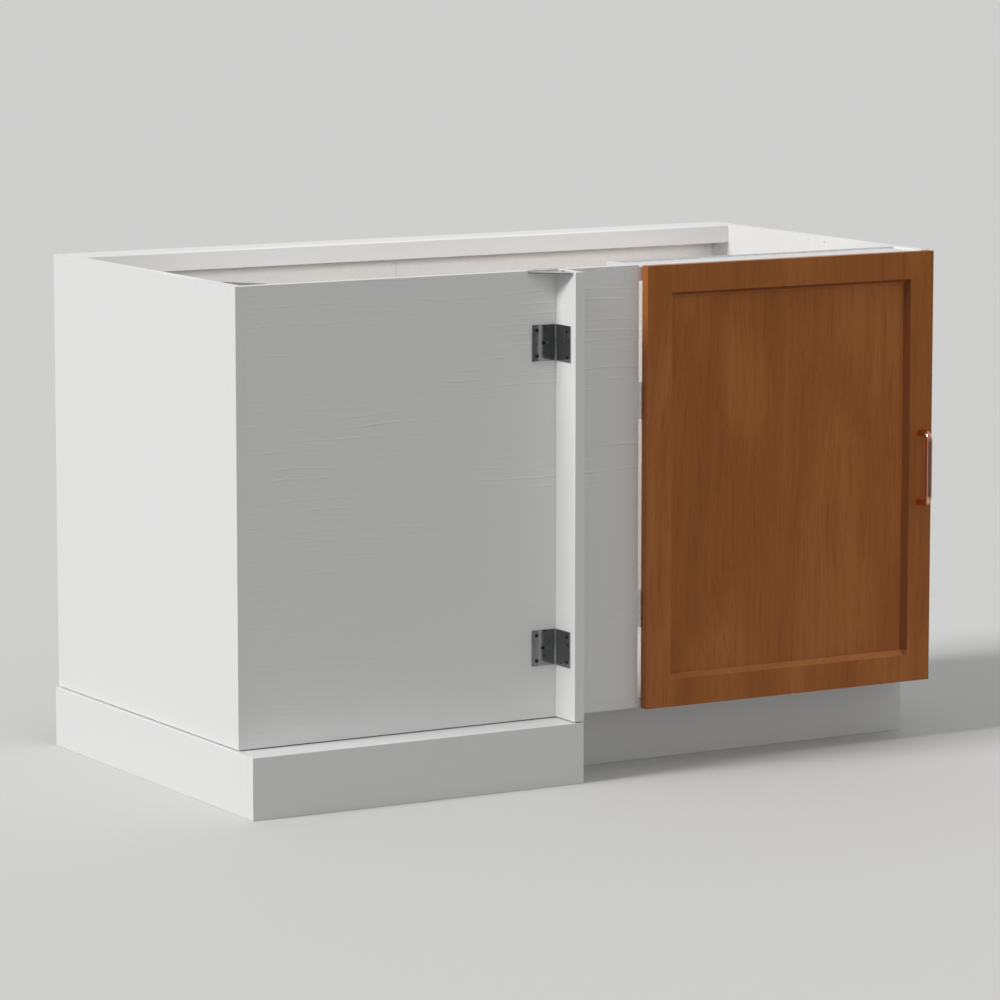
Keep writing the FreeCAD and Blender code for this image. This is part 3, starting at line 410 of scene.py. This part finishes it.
# finishes by slot, then the pieces with one of their own, by the start of their names
foils = {grain: whiteFoil(grain, "plain") for grain in grainTurns}
foils["lined"] = whiteFoil("across", "lined")
foilGrain = {
    "left_side_panel": "upright", "right_side_panel": "upright", "hinge_post": "upright", "spacer_strip": "upright",
    "plinth_left": "deep", "plinth_return": "deep", "blind_panel": "lined",
}
finishes = {
    "hardboard": pressedBoard(hardboardLook), "raw_wood": rawBeech(beechLook), "stained_wood": stainedWood(woodLook),
    "polished_steel": metalSheet("darkSteel"), "galvanised_steel": metalSheet("zincSheet"),
    "screw_steel": metalSheet("screwZinc"), "dark_screw_steel": metalSheet("blackenedScrew"),
    "copper": metalSheet("copperPlate"), "black_plastic": mouldedPlastic("blackPlastic"),
    "white_plastic": mouldedPlastic("whitePlastic"), "clear_rubber": mouldedPlastic("clearRubber"),
}
ownFinish = {
    "corner_plate_spacer": metalSheet("brightPlate"), "spacer_bracket": metalSheet("bracketSteel"),
    ("hinge_post_leaf", "hinge_door_leaf", "hinge_pin"): metalSheet("hingePlate"),
}
for name, piece in nodes.items():
    slot = slotOf[name]
    finish = foils[foilGrain.get(name, "across")] if slot == "white_laminate" else finishes[slot]
    for start, own in ownFinish.items():
        if name.startswith(start):
            finish = own
    piece.data.materials.clear()
    piece.data.materials.append(finish)
print("finishes on", len(nodes), "pieces")

# edges of boards, metal and plastic are eased a little: width and steps
easedEdges = {
    "white_laminate": (0.0009, 3), "stained_wood": (0.0009, 3), "raw_wood": (0.0006, 2),
    "polished_steel": (0.0003, 2), "galvanised_steel": (0.0002, 2),
    "white_plastic": (0.0003, 2), "black_plastic": (0.0006, 2),
}
softEdges = {"left_side_panel": (0.0028, 4), "back_top_rail": (0.002, 4)}
easing = {"weld": 0.00001, "flatWithin": 0.5, "sharpFrom": 40}
for name, piece in nodes.items():
    if slotOf[name] in easedEdges:
        weld = piece.modifiers.new("weld", "WELD")
        weld.merge_threshold = easing["weld"]
        flat = piece.modifiers.new("whole faces", "DECIMATE")
        flat.decimate_type = "DISSOLVE"
        flat.angle_limit = math.radians(easing["flatWithin"])
        ease = piece.modifiers.new("eased edges", "BEVEL")
        ease.width, ease.segments = softEdges.get(name) or easedEdges[slotOf[name]]
        ease.limit_method = "ANGLE"
        ease.angle_limit = math.radians(easing["sharpFrom"])
        ease.use_clamp_overlap = True
        ease.harden_normals = True
print("edges eased")


def addObject(name, data, place=(0, 0, 0), facing=None):
    thing = bpy.data.objects.new(name, data)
    thing.location = place
    if facing is not None:
        thing.rotation_mode = "QUATERNION"
        thing.rotation_quaternion = facing
    bpy.context.scene.collection.objects.link(thing)
    return thing


# floor: pale to the eye, duller for the light it throws back; metal sees it dim far in front
floorLook = {
    "size": 100.0, "roughness": 0.8, "specular": 0.1,
    "pale": (0.66, 0.66, 0.655), "bounce": (0.385, 0.385, 0.38), "front": (0.14, 0.14, 0.138),
    "reach": 4.0, "dim": [(0.2, 0.0), (0.55, 1.0)],  # the dimming starts and ends at these parts of the reach
}
floorShape = bmesh.new()
bmesh.ops.create_grid(floorShape, x_segments=1, y_segments=1, size=floorLook["size"] / 2)
floorMesh = bpy.data.meshes.new("floor")
floorShape.to_mesh(floorMesh)
floorShape.free()
floor = addObject("floor", floorMesh)
floorPaint, floorTree, floorShader, floorPlace = newMaterial(
    "floorPaint", Roughness=floorLook["roughness"], Specular_IOR_Level=floorLook["specular"]
)
floorRay = addNode(floorTree, "ShaderNodeLightPath").outputs
floorAhead = multiply(floorTree, splitPlace(floorTree, floorPlace)["Y"], -1 / floorLook["reach"])
floorFar = multiply(floorTree, addRamp(floorTree, floorAhead, floorLook["dim"]), floorRay["Is Glossy Ray"])
floorTone = addMix(floorTree, floorFar, floorLook["pale"], floorLook["front"])
floorSeen = addMath(floorTree, "MAXIMUM", floorRay["Is Camera Ray"], floorRay["Is Glossy Ray"])
floorSeen = addMath(floorTree, "MAXIMUM", floorSeen, floorRay["Is Transmission Ray"])
feed(floorTree, floorShader.inputs["Base Color"], addMix(floorTree, floorSeen, floorLook["bounce"], floorTone))
floorMesh.materials.append(floorPaint)

# room: soft light, stronger from the right, a pale backdrop, and a dim front and ceiling that only metal sees
roomLook = {
    "left": 0.35, "right": 0.62, "backdrop": (0.72, 0.72, 0.715),
    "frontGloss": 0.25, "frontEnds": 0.2, "backStarts": 0.6,
    "overheadGloss": 0.5, "overhead": [(0.3, 0.0), (0.85, 1.0)],
}
world = bpy.data.worlds.new("studio")
bpy.context.scene.world = world
world.use_nodes = True
skyTree = world.node_tree
skyTree.nodes.clear()
skyWay = splitPlace(skyTree, addNode(skyTree, "ShaderNodeTexCoord").outputs["Generated"])
skyRay = addNode(skyTree, "ShaderNodeLightPath").outputs
skyAcross, skyBack = (addMath(skyTree, "ADD", multiply(skyTree, skyWay[axis], 0.5), 0.5) for axis in ("X", "Y"))
frontToBack = [(roomLook["frontEnds"], roomLook["frontGloss"]), (roomLook["backStarts"], roomLook["backdrop"])]
overhead = addRamp(skyTree, skyWay["Z"], roomLook["overhead"])
mirrored = addMix(skyTree, overhead, addRamp(skyTree, skyBack, frontToBack), grey(roomLook["overheadGloss"]))
softLight = addRamp(skyTree, skyAcross, [(0.0, roomLook["left"]), (1.0, roomLook["right"])])
skyTone = addMix(skyTree, skyRay["Is Glossy Ray"], softLight, mirrored)
skySeen = addMath(skyTree, "MAXIMUM", skyRay["Is Camera Ray"], skyRay["Is Transmission Ray"])
sky = addNode(skyTree, "ShaderNodeBackground")
feed(skyTree, sky.inputs["Color"], addMix(skyTree, skySeen, skyTone, roomLook["backdrop"]))
feed(skyTree, addNode(skyTree, "ShaderNodeOutputWorld").inputs["Surface"], sky.outputs["Background"])

keyLook = {"strength": 2.3, "from": (-0.78, 0.005, 0.626), "soft": 18}
keyLamp = bpy.data.lights.new("key", "SUN")
keyLamp.energy = keyLook["strength"]
keyLamp.angle = math.radians(keyLook["soft"])
addObject("key", keyLamp, facing=Vector(keyLook["from"]).to_track_quat("Z", "Y"))

# soft box over the open top, aimed at the back, behind the plane of the front
fillLook = {"watts": 0.8, "place": (0.0, -0.25, 0.97), "aim": (0.0, 0.33, 0.75), "size": (1.3, 0.12), "spread": 75}
fillLamp = bpy.data.lights.new("fill", "AREA")
fillLamp.shape = "RECTANGLE"
fillLamp.size, fillLamp.size_y = fillLook["size"]
fillLamp.energy = fillLook["watts"]
fillLamp.spread = math.radians(fillLook["spread"])
fillWay = Vector(fillLook["place"]) - Vector(fillLook["aim"])
fill = addObject("fill", fillLamp, fillLook["place"], fillWay.to_track_quat("Z", "Y"))
fill.visible_camera = False
fill.visible_glossy = False

shot = {
    "place": (-4.254219, -7.302755, 1.628211), "ahead": (0.498238, 0.855755, -0.139436),
    "lens": 173.642, "sensor": 36.0, "sees": 200.0,
}
cameraData = bpy.data.cameras.new("camera")
cameraData.lens = shot["lens"]
cameraData.sensor_width = shot["sensor"]
cameraData.clip_end = shot["sees"]
camera = addObject("camera", cameraData, shot["place"], Vector(shot["ahead"]).to_track_quat("-Z", "Y"))
bpy.context.scene.camera = camera
bpy.context.scene.view_settings.view_transform = "Standard"
print("studio ready")
